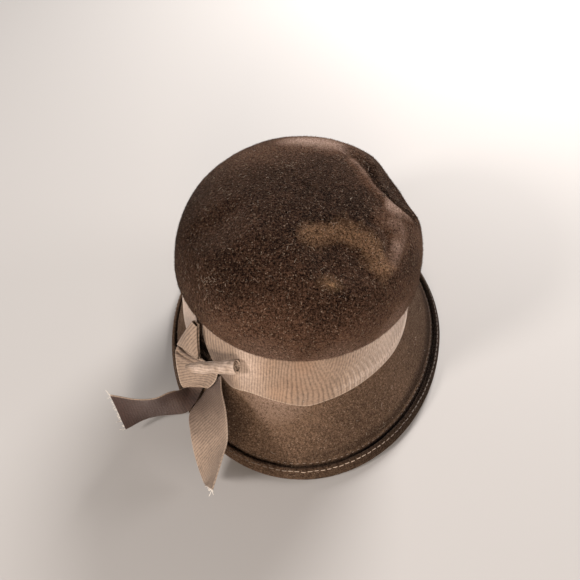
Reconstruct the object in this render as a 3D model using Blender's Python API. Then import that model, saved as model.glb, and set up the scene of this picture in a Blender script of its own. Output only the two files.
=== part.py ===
"""Cloche hat of brown velour felt with a grosgrain band and a side bow.

Metres, +Z up. The hat rests on its rim on z = 0. -Y is the side with the bow
and the widest brim. Every table is in millimetres in the hat's own frame, with
its origin in the middle of the rim's oval at the level of the folded edge;
BOX_CENTRE and REST_Z then move everything to the row's origin, which is the
bottom centre of the object's box.
"""

import math

import bmesh
import bpy
import numpy as np

MM = 0.001

# ------------------------------------------------------------- driving sizes
FELT = 2.4  # felt wall
RIBBON = 1.0  # ribbon wall
GAP = 0.35  # clearance between a ribbon and what it lies on
AROUND = 72  # facets round the hat
REST_Z = -1.6  # level of the flat under the folded edge
BOX_CENTRE = (-5.29, -24.51)  # middle of the whole box, hat frame

# Crown: ovals that shrink as a superellipse from the fullest section to the tip.
TOP_Z = 154.8
TOP_CENTRE = (-8.6, -14.2)
DOME_POWER = 2.1
DOME_RINGS = 16
INNER_DOME_RINGS = 10

# Felt from the fullest section down to the head line. front and back are the
# half lengths towards -Y and +Y, and wall is the felt measured level.
SECTIONS = [
    dict(z=99.8, half_width=88.6, front=100.6, back=102.6, x=-11.2, y=-11.4, wall=2.4),
    dict(z=93.0, half_width=89.7, front=100.5, back=102.0, x=-11.4, y=-11.2, wall=2.6),
    dict(z=88.6, half_width=89.8, front=98.2, back=99.4, x=-11.5, y=-10.9, wall=3.4),
    dict(z=86.8, half_width=88.2, front=95.6, back=96.0, x=-11.5, y=-10.7, wall=2.8),
    dict(z=85.6, half_width=86.6, front=93.6, back=94.0, x=-11.5, y=-10.7, wall=2.4),
    dict(z=75.0, half_width=86.2, front=95.2, back=95.2, x=-11.3, y=-11.2, wall=2.4),
    dict(z=61.0, half_width=86.1, front=98.6, back=98.2, x=-11.0, y=-12.2, wall=2.4),
    dict(z=47.8, half_width=86.2, front=102.4, back=101.6, x=-10.5, y=-13.2, wall=2.4),
]
RINGS_PER_SECTION = 1
HEAD_Z = SECTIONS[-1]["z"]

# Brim: flares from the head line to the rim's oval.
RIM = dict(half_width=111.8, front=147.9, back=130.5, x=0.4, y=0.0)
BRIM_FLARE = 1.2
BRIM_RINGS = 7

# The edge is folded up over the brim and stitched: distance up the slope from
# the fold, and height over the brim's own surface.
TURNED_EDGE = [
    dict(up=12.4, over=0.0),
    dict(up=10.4, over=-0.5),
    dict(up=9.5, over=0.1),
    dict(up=9.3, over=2.4),
    dict(up=7.8, over=3.3),
    dict(up=5.0, over=3.2),
    dict(up=2.0, over=2.6),
    dict(up=0.2, over=1.2),
    dict(up=-0.2, over=-0.1),
]
FOOT = (0.7, 3.3)  # flat under the fold, from and to, level in from the fold

# Dents in the crown: a middle, the way a long one runs and how much longer it
# is, the flat at its bottom, the reach across it and the depth. edge 1 leaves a
# sharp brow round the hollow, and 2 runs out softly.
DENTS = [
    dict(x=22.0, y=-62.5, z=146.0, run=0.0, longer=1.0, flat=7.0, reach=29.0, depth=5.6, edge=2),
    dict(x=54.0, y=15.0, z=140.0, run=-39.0, longer=1.15, flat=5.0, reach=25.0, depth=5.2, edge=1),
    dict(x=63.0, y=40.0, z=123.0, run=0.0, longer=1.0, flat=9.0, reach=38.0, depth=4.2, edge=2),
    dict(x=48.0, y=-39.0, z=140.5, run=-63.0, longer=2.6, flat=0.0, reach=8.0, depth=1.4, edge=2),
    dict(x=-62.0, y=-50.0, z=142.0, run=0.0, longer=1.0, flat=2.0, reach=26.0, depth=2.2, edge=2),
]


# ------------------------------------------------------------------ the felt
def oval(row, angle, inset=0.0):
    """A point of an oval whose two ends may differ."""
    c, s = math.cos(angle), math.sin(angle)
    end = row["back"] if s > 0 else row["front"]
    return (row["x"] + (row["half_width"] - inset) * c, row["y"] + (end - inset) * s)


def smooth(rows, key, t):
    """Catmull-Rom through one column of a table."""
    n = len(rows) - 1
    i = min(max(int(t), 0), n - 1)
    f = t - i
    a, b = rows[i][key], rows[i + 1][key]
    before = rows[i - 1][key] if i > 0 else 2 * a - b
    after = rows[i + 2][key] if i + 2 <= n else 2 * b - a
    return 0.5 * (
        2 * a
        + (b - before) * f
        + (2 * before - 5 * a + 4 * b - after) * f * f
        + (3 * a - before - 3 * b + after) * f**3
    )


def plain_felt(angle, s):
    """Outer felt without dents: s is 0 at the tip, 1 at the fullest section, 2 at the head line, 3 at the rim."""
    full = SECTIONS[0]
    if s <= 1:
        turn = s * math.pi / 2
        out = math.sin(turn) ** (2 / DOME_POWER)
        up = max(math.cos(turn), 0.0) ** (2 / DOME_POWER)
        row = dict(
            half_width=full["half_width"] * out,
            front=full["front"] * out,
            back=full["back"] * out,
            x=full["x"] + (TOP_CENTRE[0] - full["x"]) * up,
            y=full["y"] + (TOP_CENTRE[1] - full["y"]) * up,
        )
        x, y = oval(row, angle)
        return np.array((x, y, full["z"] + (TOP_Z - full["z"]) * up))
    if s <= 2:
        t = (s - 1) * (len(SECTIONS) - 1)
        row = {k: smooth(SECTIONS, k, t) for k in full}
        x, y = oval(row, angle)
        return np.array((x, y, row["z"]))
    t = s - 2
    out = t**BRIM_FLARE
    head = SECTIONS[-1]
    row = {k: head[k] + (RIM[k] - head[k]) * out for k in RIM}
    x, y = oval(row, angle)
    return np.array((x, y, HEAD_Z * (1 - t)))


def outward(angle, s):
    """Unit normal of the outer felt."""
    low, high = max(s - 0.01, 0.004), min(s + 0.01, 2.999)
    if s > 2:
        low = max(low, 2.0)
    down = plain_felt(angle, high) - plain_felt(angle, low)
    along = plain_felt(angle + 0.01, s) - plain_felt(angle - 0.01, s)
    n = np.cross(down, along)
    return n / np.linalg.norm(n)


def dent_depth(point):
    depth = 0.0
    for d in DENTS:
        off = point - np.array((d["x"], d["y"], d["z"]))
        run = math.radians(d["run"])
        way = np.array((math.cos(run), math.sin(run), 0.0))
        along = float(off @ way)
        far = math.sqrt(max(float(off @ off) - along * along, 0.0) + (along / d["longer"]) ** 2)
        t = min(max((far - d["flat"]) / (d["reach"] - d["flat"]), 0.0), 1.0)
        depth += d["depth"] * (1 - t * t) ** d["edge"]
    return depth


def felt(angle, s):
    """Outer felt with its dents."""
    point = plain_felt(angle, max(s, 0.004))
    if s > 1:
        return point
    return point - dent_depth(point) * outward(angle, max(s, 0.02))


def brim_s(angle):
    """Distance up the brim from the fold against s, as two lists."""
    s = np.linspace(3.0, 2.0, 21)
    points = np.array([plain_felt(angle, v) for v in s])
    steps = np.linalg.norm(np.diff(points, axis=0), axis=1)
    return np.concatenate(([0.0], np.cumsum(steps))), s


def on_brim(angle, up, over):
    """A point at a distance up the brim from its fold and a height over it."""
    far, s = brim_s(angle)
    v = float(np.interp(max(up, 0.0), far, s))
    point = plain_felt(angle, v)
    if up < 0:
        edge = plain_felt(angle, 3.0) - plain_felt(angle, 2.97)
        point = point - up * edge / np.linalg.norm(edge)
    return point + over * outward(angle, v)


def inside(angle, s):
    """Inner felt of the dome."""
    return felt(angle, s) - FELT * outward(angle, max(s, 0.02))


def felt_rows():
    """Rings from the outer tip over the rim to the inner tip."""
    angles = [2 * math.pi * i / AROUND for i in range(AROUND)]
    rows = [[felt(a, (i + 1) / DOME_RINGS) for a in angles] for i in range(DOME_RINGS)]
    parts = (len(SECTIONS) - 1) * RINGS_PER_SECTION
    rows += [[felt(a, 1 + (i + 1) / parts) for a in angles] for i in range(parts)]
    start = TURNED_EDGE[0]["up"]
    for i in range(1, BRIM_RINGS):
        ring = []
        for a in angles:
            far, s = brim_s(a)
            end = float(np.interp(start, far, s))
            ring.append(plain_felt(a, 2 + (end - 2) * i / BRIM_RINGS))
        rows.append(ring)
    for e in TURNED_EDGE:
        rows.append([on_brim(a, e["up"], e["over"]) for a in angles])
    for inset in FOOT:
        ring = []
        for a in angles:
            x, y = oval(RIM, a, inset)
            ring.append(np.array((x, y, REST_Z)))
        rows.append(ring)
    for up in (7.0, 15.0, 28.0, 40.0):
        rows.append([on_brim(a, up, -FELT) for a in angles])
    for section in reversed(SECTIONS[1:]):
        if section["wall"] == 2.8:
            continue
        ring = []
        for a in angles:
            x, y = oval(section, a, section["wall"])
            ring.append(np.array((x, y, section["z"])))
        rows.append(ring)
    rows += [[inside(a, i / INNER_DOME_RINGS) for a in angles] for i in range(INNER_DOME_RINGS, 0, -1)]
    return rows, felt(0.0, 0.0), inside(0.0, 0.0)


# --------------------------------------------------------------- the ribbons
# The band by angle round the hat: the angles and levels of its two edges. It is
# open behind the loop, and its start is gathered into the knot.
BAND = [
    dict(low=241.0, z_low=53.5, high=232.0, z_high=84.2, bulge=-4.5),
    dict(low=245.0, z_low=50.8, high=239.0, z_high=84.4, bulge=-2.0),
    dict(low=249.5, z_low=48.2, high=247.0, z_high=84.5, bulge=0.0),
    dict(low=259.0, z_low=50.6, high=259.0, z_high=84.6, bulge=0.0),
    dict(low=271.0, z_low=48.8, high=271.0, z_high=84.6, bulge=0.0),
    dict(low=281.0, z_low=46.0, high=281.0, z_high=84.6, bulge=0.0),
    dict(low=286.0, z_low=45.6, high=286.0, z_high=84.6, bulge=0.0),
    dict(low=294.0, z_low=47.3, high=294.0, z_high=84.6, bulge=0.0),
    dict(low=307.0, z_low=48.6, high=307.0, z_high=84.6, bulge=0.0),
    dict(low=323.0, z_low=48.8, high=323.0, z_high=84.6, bulge=0.0),
    dict(low=345.0, z_low=46.6, high=345.0, z_high=84.6, bulge=0.0),
    dict(low=380.0, z_low=47.4, high=380.0, z_high=84.6, bulge=0.0),
    dict(low=450.0, z_low=47.6, high=450.0, z_high=84.6, bulge=0.0),
    dict(low=520.0, z_low=47.6, high=520.0, z_high=84.6, bulge=0.0),
    dict(low=560.0, z_low=47.6, high=560.0, z_high=84.6, bulge=0.0),
    dict(low=578.0, z_low=48.2, high=577.0, z_high=84.5, bulge=0.0),
    dict(low=587.0, z_low=51.0, high=585.5, z_high=83.8, bulge=0.0),
]
BAND_STEP = 5.0  # degrees between the band's cross sections
BAND_ACROSS = 3

# Ribbons in the air: the two edges of each cross section, and how far its
# middle bows out towards the side the edges turn to. A row per fold or bend.
LOOP = [
    dict(a=(-67.1, -100.0, 61.0), b=(-69.2, -88.8, 83.6), bow=0.6),
    dict(a=(-77.0, -93.6, 60.2), b=(-70.4, -88.6, 84.2), bow=1.0),
    dict(a=(-86.6, -87.2, 59.4), b=(-71.4, -88.0, 84.8), bow=0.6),
    dict(a=(-88.6, -85.2, 58.2), b=(-72.8, -86.4, 84.8), bow=0.0),
    dict(a=(-87.0, -83.4, 56.8), b=(-71.6, -84.7, 83.8), bow=-0.4),
    dict(a=(-76.6, -90.4, 56.8), b=(-70.2, -85.4, 83.2), bow=-0.4),
    dict(a=(-66.5, -97.0, 57.2), b=(-68.4, -85.8, 82.4), bow=-1.2),
]
WRAP = [
    dict(a=(-86.6, -80.0, 49.5), b=(-72.0, -88.5, 53.5), bow=0.4),
    dict(a=(-88.4, -86.8, 48.4), b=(-66.4, -94.8, 54.6), bow=1.4),
    dict(a=(-86.6, -93.7, 46.0), b=(-58.4, -100.2, 55.4), bow=3.4),
    dict(a=(-84.4, -99.2, 42.0), b=(-53.3, -104.4, 54.4), bow=4.2),
    dict(a=(-81.8, -104.4, 37.5), b=(-54.4, -107.8, 48.5), bow=4.0),
    dict(a=(-79.6, -106.9, 33.9), b=(-58.4, -109.6, 42.4), bow=2.6),
    dict(a=(-77.9, -106.0, 31.7), b=(-60.4, -108.2, 39.4), bow=0.8),
    dict(a=(-76.8, -103.0, 31.6), b=(-62.2, -105.2, 38.6), bow=-0.4),
]
SIDE_TAIL = [
    dict(a=(-74.6, -99.4, 34.6), b=(-64.6, -101.6, 33.4), bow=0.0),
    dict(a=(-77.6, -102.4, 28.4), b=(-68.2, -107.4, 22.6), bow=0.0),
    dict(a=(-80.2, -110.4, 34.0), b=(-73.6, -110.4, 12.6), bow=0.0),
    dict(a=(-82.2, -115.6, 40.6), b=(-78.4, -113.2, 7.2), bow=0.4),
    dict(a=(-86.0, -119.8, 44.0), b=(-86.4, -116.4, 7.2), bow=0.8),
    dict(a=(-93.2, -125.8, 45.2), b=(-95.4, -119.8, 8.2), bow=0.6),
    dict(a=(-106.4, -128.9, 45.0), b=(-106.9, -124.4, 7.3), bow=-0.6),
    dict(a=(-123.3, -128.3, 44.0), b=(-117.1, -133.1, 6.8), bow=0.6),
]
HANGING_TAIL = [
    dict(a=(-57.2, -103.4, 42.0), b=(-50.8, -104.6, 52.2), bow=0.0),
    dict(a=(-64.8, -111.5, 30.2), b=(-47.9, -114.6, 50.8), bow=0.8),
    dict(a=(-70.4, -123.6, 25.9), b=(-42.5, -127.1, 51.5), bow=1.6),
    dict(a=(-66.0, -137.0, 23.1), b=(-39.2, -137.7, 50.0), bow=1.6),
    dict(a=(-61.0, -148.2, 18.3), b=(-36.8, -149.1, 47.5), bow=1.2),
    dict(a=(-56.7, -155.9, 12.5), b=(-37.4, -159.9, 45.0), bow=0.8),
    dict(a=(-52.2, -162.5, 7.9), b=(-38.2, -169.7, 42.5), bow=0.4),
    dict(a=(-48.8, -167.2, 13.4), b=(-39.0, -180.2, 40.5), bow=0.0),
]

# Roll: a ribbon wound on itself, lying across the knot.
ROLL_ENDS = ((-74.2, -105.6, 57.4), (-37.8, -109.9, 74.9))
ROLL_RADIUS = (4.4, 5.2)
ROLL_TURNS = 2.55
ROLL_PITCH = 1.45
ROLL_STEPS_PER_TURN = 14


def s_at(z):
    """The s of a level between the fullest section and the brim."""
    if z < HEAD_Z:
        return 3 - z / HEAD_Z
    s = np.linspace(1.0, 2.0, 141)
    levels = np.array([smooth(SECTIONS, "z", (v - 1) * (len(SECTIONS) - 1)) for v in s])
    return float(np.interp(-z, -levels, s))


def band_grid(step=BAND_STEP, across=BAND_ACROSS, off=GAP + RIBBON / 2):
    """Middle surface of the band, cross section by cross section."""
    grid = []
    for i in range(len(BAND) - 1):
        span = max(BAND[i + 1]["low"] - BAND[i]["low"], BAND[i + 1]["high"] - BAND[i]["high"])
        parts = max(int(round(span / step)), 1)
        for k in range(parts + (1 if i == len(BAND) - 2 else 0)):
            t = i + k / parts
            row = {key: smooth(BAND, key, t) for key in BAND[0]}
            line = []
            for j in range(across + 1):
                v = j / across
                angle = math.radians(row["low"] + (row["high"] - row["low"]) * v + row["bulge"] * 4 * v * (1 - v))
                s = s_at(row["z_low"] + (row["z_high"] - row["z_low"]) * v)
                line.append(plain_felt(angle, s) + off * outward(angle, s))
            grid.append(line)
    return np.array(grid)


def strip_grid(rows, along=3, across=4):
    """Middle surface of a ribbon given by its edges."""
    table = []
    for r in rows:
        table.append({k + str(i): r[k][i] for k in "ab" for i in range(3)} | {"bow": r["bow"]})
    lines = []
    for i in range((len(rows) - 1) * along + 1):
        row = {k: smooth(table, k, i / along) for k in table[0]}
        a = np.array([row["a0"], row["a1"], row["a2"]])
        b = np.array([row["b0"], row["b1"], row["b2"]])
        lines.append((a, b, row["bow"]))
    grid = []
    for i, (a, b, bow) in enumerate(lines):
        before, after = lines[max(i - 1, 0)], lines[min(i + 1, len(lines) - 1)]
        along_it = (after[0] + after[1]) - (before[0] + before[1])
        n = np.cross(b - a, along_it)
        n /= np.linalg.norm(n)
        grid.append([a + (b - a) * j / across + n * bow * 4 * (j / across) * (1 - j / across) for j in range(across + 1)])
    return np.array(grid)


def thicken(grid, wall=RIBBON):
    """The two faces of a sheet from its middle surface."""
    along = np.gradient(grid, axis=0)
    across = np.gradient(grid, axis=1)
    n = np.cross(across, along)
    n /= np.linalg.norm(n, axis=2, keepdims=True)
    return grid + n * wall / 2, grid - n * wall / 2


def roll_grid(steps=ROLL_STEPS_PER_TURN):
    """Section line of the roll at both ends, from the outside in."""
    start, end = (np.array(p) for p in ROLL_ENDS)
    axis = (end - start) / np.linalg.norm(end - start)
    side = np.cross(axis, (0.0, 0.0, 1.0))
    side /= np.linalg.norm(side)
    up = np.cross(side, axis)
    count = int(ROLL_TURNS * steps)
    grid = []
    for i in range(count + 1):
        turn = i / steps
        a = 2 * math.pi * turn - 0.6
        line = []
        for point, radius in zip((start, end), ROLL_RADIUS):
            r = radius - 0.5 - ROLL_PITCH * turn * (radius / ROLL_RADIUS[1])
            line.append(point + r * (math.cos(a) * side + math.sin(a) * up))
        grid.append(line)
    return np.array(grid)


# -------------------------------------------------------------------- meshes
def clear_file():
    for block in list(bpy.data.objects):
        bpy.data.objects.remove(block, do_unlink=True)


def material(name, colour, rough):
    m = bpy.data.materials.new(name)
    m.use_nodes = True
    shader = m.node_tree.nodes["Principled BSDF"]
    shader.inputs["Base Color"].default_value = (*colour, 1.0)
    shader.inputs["Roughness"].default_value = rough
    return m


def add(name, points, faces, mat):
    """One closed body from points in millimetres."""
    shift = np.array((BOX_CENTRE[0], BOX_CENTRE[1], REST_Z))
    mesh = bpy.data.meshes.new(name)
    mesh.from_pydata([tuple((np.asarray(p) - shift) * MM) for p in points], [], faces)
    work = bmesh.new()
    work.from_mesh(mesh)
    bmesh.ops.recalc_face_normals(work, faces=work.faces)
    work.to_mesh(mesh)
    work.free()
    mesh.materials.append(mat)
    body = bpy.data.objects.new(name, mesh)
    bpy.context.scene.collection.objects.link(body)
    return body


def felt_body(mat):
    rows, tip, inner_tip = felt_rows()
    points = [p for row in rows for p in row] + [tip, inner_tip]
    outer_tip, under_tip = len(points) - 2, len(points) - 1
    faces = []
    for i in range(AROUND):
        k = (i + 1) % AROUND
        faces.append((outer_tip, i, k))
        last = (len(rows) - 1) * AROUND
        faces.append((under_tip, last + k, last + i))
        for r in range(len(rows) - 1):
            a, b = r * AROUND, (r + 1) * AROUND
            faces.append((a + i, b + i, b + k, a + k))
    return add("felt_body", points, faces, mat)


def sheet_body(name, grid, mat):
    front, back = thicken(grid)
    n, m = grid.shape[:2]
    points = list(front.reshape(-1, 3)) + list(back.reshape(-1, 3))
    half = n * m
    faces = []
    for i in range(n - 1):
        for j in range(m - 1):
            a, b = i * m + j, (i + 1) * m + j
            faces.append((a, b, b + 1, a + 1))
            faces.append((half + a, half + a + 1, half + b + 1, half + b))
    for i in range(n - 1):
        a, b = i * m, (i + 1) * m
        faces.append((a, half + a, half + b, b))
        faces.append((a + m - 1, b + m - 1, half + b + m - 1, half + a + m - 1))
    for j in range(m - 1):
        a, b = j, (n - 1) * m + j
        faces.append((a, a + 1, half + a + 1, half + a))
        faces.append((b, half + b, half + b + 1, b + 1))
    return add(name, points, faces, mat)


def main():
    clear_file()
    felt_mat = material("felt", (0.036, 0.020, 0.014), 0.95)
    ribbon_mat = material("grosgrain", (0.36, 0.23, 0.15), 0.7)
    felt_body(felt_mat)
    sheet_body("ribbon_band", band_grid(), ribbon_mat)
    sheet_body("bow_loop", strip_grid(LOOP, along=3), ribbon_mat)
    sheet_body("knot_wrap", strip_grid(WRAP, along=2), ribbon_mat)
    sheet_body("ribbon_roll", roll_grid(), ribbon_mat)
    sheet_body("tail_side", strip_grid(SIDE_TAIL, along=2), ribbon_mat)
    sheet_body("tail_hanging", strip_grid(HANGING_TAIL, along=2), ribbon_mat)


main()
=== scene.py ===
"""Looks of the brown velour cloche: fine felt, ribbed ribbon, threads, floor and light.

The tables are in millimetres in the hat's own frame, whose origin is in the
middle of the rim's oval at the level of the folded edge. placed() moves them to
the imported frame, in metres. -Y is the side with the bow.
"""

import math

import bpy
import numpy as np
from mathutils import Matrix


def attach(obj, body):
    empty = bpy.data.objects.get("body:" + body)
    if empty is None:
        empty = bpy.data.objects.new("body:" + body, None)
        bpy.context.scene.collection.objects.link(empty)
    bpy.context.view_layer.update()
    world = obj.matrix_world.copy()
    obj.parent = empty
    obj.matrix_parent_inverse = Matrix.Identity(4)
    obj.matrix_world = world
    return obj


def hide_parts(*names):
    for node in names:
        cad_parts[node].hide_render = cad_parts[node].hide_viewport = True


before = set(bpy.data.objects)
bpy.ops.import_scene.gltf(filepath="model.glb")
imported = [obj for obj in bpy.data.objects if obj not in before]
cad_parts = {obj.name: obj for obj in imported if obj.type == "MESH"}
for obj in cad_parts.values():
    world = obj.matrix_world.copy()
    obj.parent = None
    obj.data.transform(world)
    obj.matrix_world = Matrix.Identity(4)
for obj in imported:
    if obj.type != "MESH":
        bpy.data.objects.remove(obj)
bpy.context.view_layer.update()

MM = 0.001
BOX_CENTRE = (-5.29, -24.51)
REST_Z = -1.6
SHIFT = np.array((BOX_CENTRE[0], BOX_CENTRE[1], REST_Z))

# ------------------------------------------------------------ sizes, as in CAD
FELT = 2.4
GAP = 0.35
TOP_Z = 154.8
TOP_CENTRE = (-8.6, -14.2)
DOME_POWER = 2.1
SECTIONS = [
    dict(z=99.8, half_width=88.6, front=100.6, back=102.6, x=-11.2, y=-11.4, wall=2.4),
    dict(z=93.0, half_width=89.7, front=100.5, back=102.0, x=-11.4, y=-11.2, wall=2.6),
    dict(z=88.6, half_width=89.8, front=98.2, back=99.4, x=-11.5, y=-10.9, wall=3.4),
    dict(z=86.8, half_width=88.2, front=95.6, back=96.0, x=-11.5, y=-10.7, wall=2.8),
    dict(z=85.6, half_width=86.6, front=93.6, back=94.0, x=-11.5, y=-10.7, wall=2.4),
    dict(z=75.0, half_width=86.2, front=95.2, back=95.2, x=-11.3, y=-11.2, wall=2.4),
    dict(z=61.0, half_width=86.1, front=98.6, back=98.2, x=-11.0, y=-12.2, wall=2.4),
    dict(z=47.8, half_width=86.2, front=102.4, back=101.6, x=-10.5, y=-13.2, wall=2.4),
]
HEAD_Z = SECTIONS[-1]["z"]
RIM = dict(half_width=111.8, front=147.9, back=130.5, x=0.4, y=0.0)
BRIM_FLARE = 1.2

# Dents in the crown, as in CAD, and then the small ones that only show here.
DENTS = [
    dict(x=22.0, y=-62.5, z=146.0, run=0.0, longer=1.0, flat=7.0, reach=29.0, depth=5.6, edge=2),
    dict(x=54.0, y=15.0, z=140.0, run=-39.0, longer=1.15, flat=5.0, reach=25.0, depth=5.2, edge=1),
    dict(x=63.0, y=40.0, z=123.0, run=0.0, longer=1.0, flat=9.0, reach=38.0, depth=4.2, edge=2),
    dict(x=48.0, y=-39.0, z=140.5, run=-63.0, longer=2.6, flat=0.0, reach=8.0, depth=1.4, edge=2),
    dict(x=-62.0, y=-50.0, z=142.0, run=0.0, longer=1.0, flat=2.0, reach=26.0, depth=2.2, edge=2),
]

# Narrow folds and lips in the crown: a line over the felt, how far it reaches to
# each side and how deep it sinks (a lip stands up, so its depth is below zero).
FOLDS = [
    dict(path=[(14.0, 45.0, 143.0), (25.5, 35.0, 144.0), (34.9, 21.0, 144.8), (42.6, 10.6, 143.6), (51.0, 4.5, 140.2), (58.9, 1.2, 135.3), (66.5, -1.1, 128.5)], reach=12.0, depth=5.4),
    dict(path=[(20.0, 24.0, 147.0), (25.6, 16.4, 148.6), (34.2, 1.3, 148.0), (43.2, -6.1, 145.1), (53.6, -9.6, 139.0), (64.7, -8.5, 130.0)], reach=7.5, depth=-2.1),
    dict(path=[(0.9, -62.0, 147.6), (10.5, -58.0, 148.2), (23.0, -55.0, 146.5), (34.0, -62.0, 140.5), (40.0, -68.0, 135.5)], reach=11.0, depth=1.7),
    dict(path=[(35.7, -32.8, 147.0), (44.6, -32.0, 143.5), (49.9, -36.7, 140.0), (50.8, -46.6, 137.2), (50.2, -55.1, 134.7)], reach=5.5, depth=1.5),
    dict(path=[(51.0, -18.5, 141.3), (57.2, -24.3, 136.9), (57.1, -35.2, 135.4), (55.1, -46.4, 134.1), (50.8, -59.7, 132.3)], reach=6.0, depth=-1.1),
    dict(path=[(-75.0, -50.0, 131.0), (-66.0, -48.0, 139.5), (-52.0, -38.0, 146.5)], reach=14.0, depth=1.6),
    dict(path=[(-62.0, -70.0, 132.0), (-48.0, -66.0, 140.0), (-34.0, -58.0, 146.0)], reach=12.0, depth=-0.8),
    dict(path=[(-30.0, 38.0, 146.5), (-8.0, 42.0, 147.0), (14.0, 43.0, 144.0)], reach=14.0, depth=-0.9),
]

# The turned edge in section: distance up the slope from the fold, and height
# over the brim. It is tucked under its raw edge, which throws the dark line,
# deepened by painted shade on the felt.
TURNED_EDGE = [
    dict(up=13.4, over=0.0),
    dict(up=12.0, over=-0.15),
    dict(up=10.6, over=-0.55),
    dict(up=9.4, over=-0.45),
    dict(up=8.7, over=0.0),
    dict(up=8.75, over=0.55),
    dict(up=9.3, over=0.95),
    dict(up=9.45, over=1.8),
    dict(up=9.1, over=2.75),
    dict(up=8.2, over=3.3),
    dict(up=6.8, over=3.35),
    dict(up=5.0, over=3.2),
    dict(up=3.2, over=3.0),
    dict(up=1.6, over=2.4),
    dict(up=0.5, over=1.5),
    dict(up=-0.2, over=0.1),
]

# Painted highlight on the lit far wall of the dimple in the crown, taken also as nap worn pale by handling: lines over
# the crown, their half width and how pale.
RUBBED_AND_LIT = [
    dict(path=[(0.0, -55.0, 148.5), (10.6, -49.5, 149.0), (23.4, -45.0, 147.5), (33.6, -47.5, 144.0), (41.1, -54.5, 139.0), (47.0, -60.2, 133.5)], half=8.0, amount=0.85),
]

# Ribbon
RIBBON = 0.72  # wall of the woven ribbon as it looks, thinner than its solid
RIB = 1.95  # pitch of its ribs
RELIEF = 0.17  # height of a rib on each face

BAND = [
    dict(low=241.0, z_low=53.5, high=232.0, z_high=84.2, bulge=-4.5),
    dict(low=245.0, z_low=50.8, high=239.0, z_high=84.4, bulge=-2.0),
    dict(low=249.5, z_low=48.2, high=247.0, z_high=84.5, bulge=0.0),
    dict(low=259.0, z_low=50.6, high=259.0, z_high=84.6, bulge=0.0),
    dict(low=271.0, z_low=48.8, high=271.0, z_high=84.6, bulge=0.0),
    dict(low=281.0, z_low=46.0, high=281.0, z_high=84.6, bulge=0.0),
    dict(low=286.0, z_low=45.6, high=286.0, z_high=84.6, bulge=0.0),
    dict(low=294.0, z_low=47.3, high=294.0, z_high=84.6, bulge=0.0),
    dict(low=307.0, z_low=48.6, high=307.0, z_high=84.6, bulge=0.0),
    dict(low=323.0, z_low=48.8, high=323.0, z_high=84.6, bulge=0.0),
    dict(low=345.0, z_low=46.6, high=345.0, z_high=84.6, bulge=0.0),
    dict(low=380.0, z_low=47.4, high=380.0, z_high=84.6, bulge=0.0),
    dict(low=450.0, z_low=47.6, high=450.0, z_high=84.6, bulge=0.0),
    dict(low=520.0, z_low=47.6, high=520.0, z_high=84.6, bulge=0.0),
    dict(low=560.0, z_low=47.6, high=560.0, z_high=84.6, bulge=0.0),
    dict(low=578.0, z_low=48.2, high=577.0, z_high=84.5, bulge=0.0),
    dict(low=587.0, z_low=51.0, high=585.5, z_high=83.8, bulge=0.0),
]
# How far the band's ribs lean, by angle round the hat: millimetres that a rib
# would shift from the top edge down if it kept the lean it has at the top.
BAND_LEAN = [(240, 0), (274, 0), (298, 34), (318, 40), (346, 26), (390, 0), (600, 0)]

LOOP = [
    dict(a=(-67.1, -100.0, 61.0), b=(-69.2, -88.8, 83.6), bow=0.6),
    dict(a=(-77.0, -93.6, 60.2), b=(-70.4, -88.6, 84.2), bow=1.0),
    dict(a=(-84.6, -88.2, 56.6), b=(-71.4, -88.0, 84.8), bow=0.6),
    dict(a=(-86.4, -86.4, 55.2), b=(-72.8, -86.4, 84.8), bow=0.0),
    dict(a=(-84.8, -84.6, 54.2), b=(-71.6, -84.7, 83.8), bow=-0.4),
    dict(a=(-76.6, -90.4, 56.8), b=(-70.2, -85.4, 83.2), bow=-0.4),
    dict(a=(-66.5, -97.0, 57.2), b=(-68.4, -85.8, 82.4), bow=-1.2),
]
WRAP = [
    dict(a=(-86.0, -80.8, 55.4), b=(-72.4, -86.6, 58.5), bow=0.2),
    dict(a=(-86.6, -80.0, 49.5), b=(-72.0, -88.5, 53.5), bow=0.4),
    dict(a=(-88.4, -86.8, 48.4), b=(-66.4, -94.8, 54.6), bow=1.4),
    dict(a=(-86.6, -93.7, 46.0), b=(-58.4, -100.2, 55.4), bow=3.4),
    dict(a=(-84.4, -99.2, 42.0), b=(-53.3, -104.4, 54.4), bow=4.2),
    dict(a=(-81.8, -104.4, 37.5), b=(-54.4, -107.8, 48.5), bow=4.0),
    dict(a=(-79.6, -106.9, 33.9), b=(-58.4, -109.6, 42.4), bow=2.6),
    dict(a=(-77.9, -106.0, 31.7), b=(-60.4, -108.2, 39.4), bow=0.8),
    dict(a=(-76.8, -103.0, 31.6), b=(-62.2, -105.2, 38.6), bow=-0.4),
]
SIDE_TAIL = [
    dict(a=(-74.6, -99.4, 34.6), b=(-64.6, -101.6, 33.4), bow=0.0),
    dict(a=(-77.6, -102.4, 28.4), b=(-68.2, -107.4, 22.6), bow=0.0),
    dict(a=(-80.2, -110.4, 34.0), b=(-73.6, -110.4, 12.6), bow=0.0),
    dict(a=(-82.2, -115.6, 40.6), b=(-78.4, -113.2, 7.2), bow=0.4),
    dict(a=(-86.0, -119.8, 44.0), b=(-86.4, -116.4, 7.2), bow=0.8),
    dict(a=(-93.2, -125.8, 45.2), b=(-95.4, -119.8, 8.2), bow=0.6),
    dict(a=(-106.4, -128.9, 45.0), b=(-106.9, -124.4, 7.3), bow=-0.6),
    dict(a=(-123.3, -128.3, 44.0), b=(-117.1, -133.1, 6.8), bow=0.6),
]
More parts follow.
